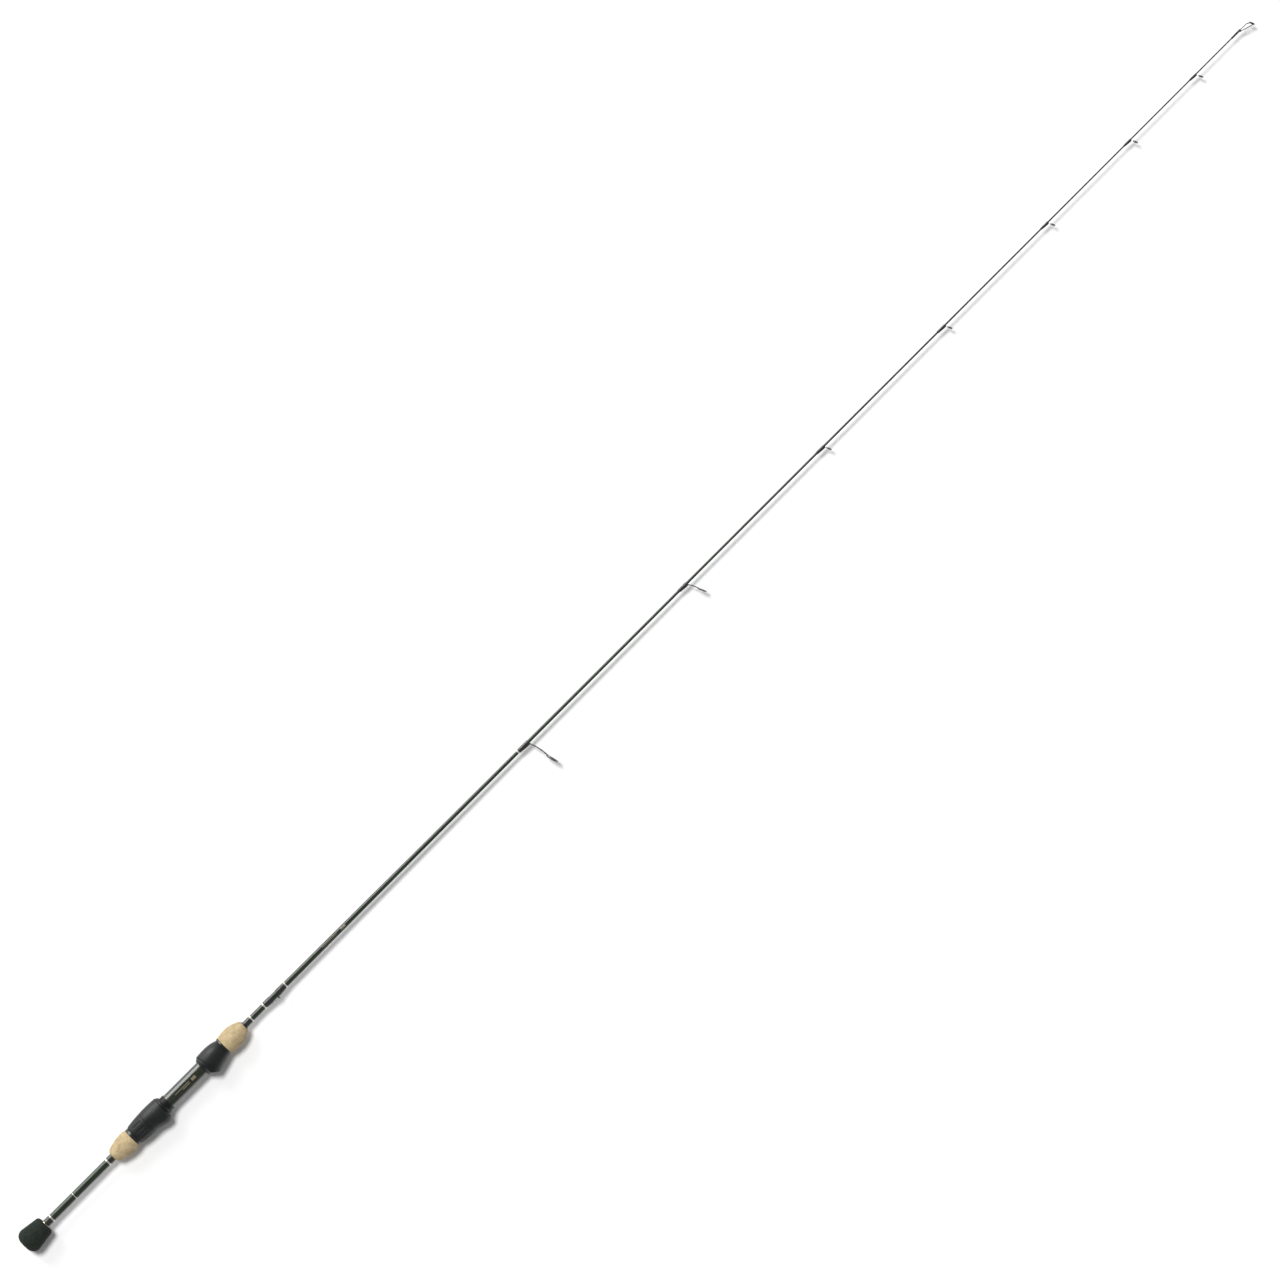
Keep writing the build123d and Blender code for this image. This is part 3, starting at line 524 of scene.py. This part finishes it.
FOAM = foam_material()
CORK = cork_material()
BLANK = blank_material()
SEAT_GLOSS = seat_gloss_material()
SEAT_BLACKS = ((0.006, 0.008, 0.007), (0.010, 0.013, 0.011))
INNER_BLACKS = ((0.004, 0.005, 0.0045), (0.007, 0.009, 0.008))
ARBOR_TANS = ((0.55, 0.53, 0.48), (0.66, 0.64, 0.58))
HOOD = moulded_material("seat_moulding", *SEAT_BLACKS, 0.40, 0.48)
NUT = moulded_material("nut_moulding", *SEAT_BLACKS, 0.42, 0.5)
BARREL = moulded_material("seat_inner", *INNER_BLACKS, 0.4, 0.5)
ARBOR = moulded_material("arbor", *ARBOR_TANS, 0.7, 0.85)
BLACK_GLOSS = black_gloss_material()
WRAP = wrap_material()
METAL_BAND = metal_thread_material()
GOLD = metal_material("pale_gold", (0.66, 0.57, 0.38), (0.78, 0.70, 0.50), 0.26, 0.38,
                      (6.0, 1.0, 1.0))
GUIDE_METAL = metal_material("guide_metal", (0.26, 0.265, 0.27), (0.32, 0.325, 0.33),
                             0.18, 0.26)
TIP_METAL = metal_material("tip_metal", (0.06, 0.063, 0.062), (0.08, 0.084, 0.082),
                           0.24, 0.32)
CERAMIC = ceramic_material()

CAD_MATERIALS = {
    "blank_lacquer": BLANK, "black_gloss": BLACK_GLOSS, "seat_gloss": SEAT_GLOSS,
    "seat_black": HOOD, "arbor": ARBOR, "gold_trim": GOLD, "guide_metal": GUIDE_METAL,
    "guide_ring": CERAMIC, "tip_metal": TIP_METAL, "wrap": WRAP, "metallic_band": METAL_BAND,
    "cap_foam": FOAM, "cork": CORK,
}
NODE_MATERIALS = {
    "threaded_barrel": BARREL, "moving_hood_liner": BARREL, "fixed_hood_liner": BARREL,
    "lock_nut": NUT,
}


def paint_cad_nodes():
    """Gives every carried-over node its procedural material."""
    for row in frame["record"]["subparts"]:
        node = row["node"]
        chosen = NODE_MATERIALS.get(node, CAD_MATERIALS[row["material_slot"]])
        for slot in NODES[node].material_slots:
            slot.material = chosen


# ---------------------------------------------------------------- pieces

def lathe_stations(node, step):
    """Even X stations over a node, closer together at both ends where it turns sharply."""
    x0, x1 = ends(node)
    count = max(8, int((x1 - x0) / step))
    even = (1 - np.cos(np.linspace(0, math.pi, count + 1))) / 2
    straight = np.linspace(0, 1, count + 1)
    return x0 + (x1 - x0) * (0.5 * even + 0.5 * straight)


def butt_cap():
    """Foam cap: the CAD profile turned finely, with the foam's own unevenness."""
    stations = lathe_stations("butt_cap", CAP_STEP)
    radii = outer_radius("butt_cap", stations)
    bore_start = ends("blank")[0]
    rng = np.random.default_rng(CAP_SEED)
    grain = rng.standard_normal((len(stations), CAP_SEGMENTS))
    diagonal = np.roll(grain, (1, 1), (0, 1))
    grain = (grain + np.roll(grain, 1, 0) + np.roll(grain, 1, 1) + diagonal) / 2
    inside = (stations > stations[0] + CAP_STEP) & (stations < stations[-1] - CAP_STEP)
    radii = radii[:, None] - CAP_GRAIN * np.abs(grain) * inside[:, None]
    outside = grid_points(stations, radii, CAP_SEGMENTS)
    hidden = stations[stations > bore_start][::-1]
    hole = grid_points(hidden, outer_radius("blank", hidden) - SUNK, CAP_SEGMENTS)
    verts = np.concatenate([outside, hole]).reshape(-1, 3)
    rings = len(stations) + len(hidden)
    faces = tube_faces(rings, CAP_SEGMENTS, closed=False)
    # Middle points of the cap's butt face and of the floor of its bore
    butt = len(verts)
    floor = butt + 1
    verts = np.vstack([verts, (stations[0], 0, 0), (hidden[-1], 0, 0)])
    last = (rings - 1) * CAP_SEGMENTS
    for j in range(CAP_SEGMENTS):
        k = (j + 1) % CAP_SEGMENTS
        faces.append((butt, j, k))
        faces.append((floor, last + k, last + j))
    cap = new_mesh("foam_butt_cap", verts, faces, "rod", FOAM)
    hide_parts("butt_cap")


def cork_pits(stations, radii, theta, seed):
    """Depth of the pits on the cork's grid, and how dark each point is."""
    rng = np.random.default_rng(seed)
    x = stations[:, None]
    depth = np.zeros((len(stations), len(theta)))
    dark = np.zeros_like(depth)
    length = stations[-1] - stations[0]
    for _ in range(CORK_PITS):
        px = stations[0] + length * rng.random()
        pt = 2 * math.pi * rng.random()
        size = (PIT_SIZE[0] + PIT_SIZE[1] * rng.random() ** 3) * MM
        stretch = 1.0 + PIT_STRETCH * rng.random() ** 2
        turn = math.pi / 2 + rng.normal(0, PIT_STRAY)
        deep = size * (PIT_DEPTH[0] + PIT_DEPTH[1] * rng.random())
        gap = (theta[None, :] - pt + math.pi) % (2 * math.pi) - math.pi
        around = gap * radii[:, None]
        along = x - px
        u = along * math.cos(turn) + around * math.sin(turn)
        v = -along * math.sin(turn) + around * math.cos(turn)
        ragged = 1 + PIT_RAGGED * np.sin(PIT_LOBES * np.arctan2(v, u) + 6 * rng.random())
        reach = ((u / (size * stretch)) ** 2 + (v / size) ** 2) * ragged
        hit = np.clip(1 - reach, 0, 1)
        depth = np.maximum(depth, deep * np.sqrt(hit))
        shade = PIT_DARK[0] + PIT_DARK[1] * rng.random()
        dark = np.maximum(dark, np.clip(hit * PIT_EDGE, 0, 1) * shade)
    return depth, dark


def cork_piece(name, node, seed):
    """Cork grip: the CAD curve, carved with pits and a glue seam at mid length."""
    x0, x1 = ends(node)
    count = int((x1 - x0) / CORK_STEP)
    stations = np.linspace(x0, x1, count + 1)
    radii = outer_radius(node, stations)
    theta = np.linspace(0, 2 * math.pi, CORK_SEGMENTS, endpoint=False)
    depth, dark = cork_pits(stations, radii, theta, seed)
    middle = (x0 + x1) / 2
    seam = np.exp(-((stations - middle) / CORK_SEAM_WIDTH) ** 2)[:, None]
    depth = depth + CORK_SEAM_DEPTH * seam
    dark = np.maximum(dark, CORK_SEAM_SHADE * seam)
    rng = np.random.default_rng(seed + 1)
    grain = smoothed(rng.standard_normal(depth.shape), 2) * CORK_GRAIN
    held = np.ones(len(stations))
    held[[0, -1]] = 0.0
    surface = radii[:, None] - (depth + np.abs(grain)) * held[:, None]
    cork = solid_around_blank(name, stations, surface, CORK_SEGMENTS, CORK)
    shade = np.concatenate([dark.ravel(), np.zeros(dark.size)]).astype(np.float32)
    attribute = cork.data.attributes.new("pit", "FLOAT", "POINT")
    attribute.data.foreach_set("value", shade)
    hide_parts(node)


def winding(name, node, pitch, relief, material_used, segments, soften):
    """Thread wound over the CAD winding's shape, each turn standing out a little."""
    x0, x1 = ends(node)
    count = max(6, round((x1 - x0) / pitch)) * SAMPLES_PER_TURN
    stations = np.linspace(x0, x1, count + 1)
    theta = np.linspace(0, 2 * math.pi, segments, endpoint=False)
    top, reel, side = outer_section(node, stations)
    shape = ellipse_radii(top, reel, side, theta)
    shape = smoothed(shape, round(soften / (stations[1] - stations[0])))
    phase = 2 * math.pi * (stations[:, None] - x0) / pitch + theta[None, :]
    rise = (np.cos(phase) - 1) / 2 * relief
    blank_r = outer_radius("blank", stations)
    surface = np.maximum(shape + rise, blank_r[:, None] - SUNK / 2)
    piece = solid_around_blank(name, stations, surface, segments, material_used)
    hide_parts(node)


def windings():
    """All thread windings and metallic bands of the record."""
    for row in frame["record"]["subparts"]:
        node = row["node"]
        if row["material_slot"] == "wrap":
            over_foot = node.startswith(("guide", "keeper"))
            winding(f"{node}_thread", node, THREAD, THREAD_RELIEF, WRAP,
                    THREAD_SEGMENTS, FOOT_SOFTENING if over_foot else WRAP_SOFTENING)
        elif row["material_slot"] == "metallic_band":
            winding(f"{node}_thread", node, METAL_THREAD, METAL_RELIEF,
                    METAL_BAND, METAL_SEGMENTS, 0.0)


def printed_bar(name, node, bar):
    """Thin curved plate on a node's surface, with a gently rounded outline."""
    x0, x1, y0, y1 = (value * MM for value in bar)
    stations = np.linspace(x0, x1, BAR_ROWS)
    radius = outer_radius(node, stations)
    share = np.linspace(0, 1, BAR_COLUMNS)
    trim = np.abs(np.linspace(-1, 1, BAR_ROWS)) ** BAR_CORNER_POWER
    half = (y1 - y0) / 2 * (1 - BAR_END_TRIM * trim)
    y = (y0 + y1) / 2 + half[:, None] * (2 * share - 1)
    angle = np.arcsin(y / radius[:, None])
    layers = []
    for rise in (-SUNK, BAR_THICKNESS):
        r = radius[:, None] + rise
        x = np.broadcast_to(stations[:, None], y.shape)
        layers.append(np.stack([x, r * np.sin(angle), r * np.cos(angle)], axis=-1).reshape(-1, 3))
    rows, columns = y.shape
    size = rows * columns
    faces = []
    for i in range(rows - 1):
        for j in range(columns - 1):
            a, b = i * columns + j, (i + 1) * columns + j
            faces.append((a, b, b + 1, a + 1))
            faces.append((size + a, size + a + 1, size + b + 1, size + b))
    rim = [i * columns for i in range(rows)]
    rim += [(rows - 1) * columns + j for j in range(1, columns)]
    rim += [i * columns + columns - 1 for i in range(rows - 2, -1, -1)]
    rim += [j for j in range(columns - 2, 0, -1)]
    for a, b in zip(rim, rim[1:] + rim[:1]):
        faces.append((b, a, size + a, size + b))
    new_mesh(name, np.concatenate(layers), faces, "rod", GOLD)


def printed_bars():
    """Plain bars in place of the markings on the reel seat and the blank."""
    for index, bar in enumerate(SEAT_BARS, 1):
        printed_bar(f"seat_bar_{index}", "seat_tube", bar)
    for index, bar in enumerate(BLANK_BARS, 1):
        printed_bar(f"blank_bar_{index}", "blank", bar)


# ---------------------------------------------------------------- stage

def ground():
    """Pale floor under the rod's lowest point."""
    low = cad_box[0].z
    centre = (cad_box[0].x + cad_box[1].x) / 2
    corners = [(-1, -1), (1, -1), (1, 1), (-1, 1)]
    verts = [(centre + GROUND_HALF * u, GROUND_HALF * v, low) for u, v in corners]
    mesh = bpy.data.meshes.new("ground")
    mesh.from_pydata(verts, [], [(0, 1, 2, 3)])
    mesh.materials.append(floor_material())
    floor = bpy.data.objects.new("ground", mesh)
    bpy.context.scene.collection.objects.link(floor)


def sun(name, elevation, strength, angle):
    """Distant soft light from the +Y side, at an elevation in degrees, with no glint."""
    data = bpy.data.lights.new(name, "SUN")
    data.energy = strength
    data.angle = math.radians(angle)
    lamp = bpy.data.objects.new(name, data)
    lamp.rotation_euler = (math.radians(elevation - 90), 0, 0)
    lamp.visible_glossy = False
    bpy.context.scene.collection.objects.link(lamp)


def panel(name, place, aim, size, power):
    """Rectangular softbox at a place, aimed at a point."""
    data = bpy.data.lights.new(name, "AREA")
    data.shape = "RECTANGLE"
    data.size, data.size_y = size
    data.energy = power
    lamp = bpy.data.objects.new(name, data)
    lamp.location = place
    lamp.visible_camera = False
    direction = aim - place
    lamp.rotation_euler = direction.to_track_quat("-Z", "Y").to_euler()
    bpy.context.scene.collection.objects.link(lamp)


def lights():
    """Soft key and a softbox from the rod's +Y side, and an even pale surround."""
    sun("key", KEY_ELEVATION, KEY_STRENGTH, KEY_SPREAD)
    panel("side_light", PANEL_PLACE, PANEL_AIM, PANEL_SIZE, PANEL_POWER)
    world = bpy.data.worlds.new("studio")
    world.use_nodes = True
    background = world.node_tree.nodes["Background"]
    background.inputs["Color"].default_value = (1.0, 1.0, 1.0, 1.0)
    background.inputs["Strength"].default_value = SURROUND_STRENGTH
    bpy.context.scene.world = world


def camera():
    """Long lens looking straight down, with the rod running from lower left to upper right."""
    data = bpy.data.cameras.new("camera")
    data.lens = LENS
    data.sensor_width = SENSOR
    data.clip_end = CLIP_END
    cam = bpy.data.objects.new("camera", data)
    cam.location = (*VIEW_CENTRE, VIEW_WIDTH * LENS / SENSOR)
    cam.rotation_euler = (0, 0, math.radians(VIEW_TURN))
    bpy.context.scene.collection.objects.link(cam)
    bpy.context.scene.camera = cam


camera()
paint_cad_nodes()
butt_cap()
cork_piece("rear_cork", "rear_cork_grip", 21)
cork_piece("fore_cork", "fore_cork_grip", 22)
windings()
printed_bars()
ground()
lights()
bpy.context.scene.view_settings.view_transform = "Standard"
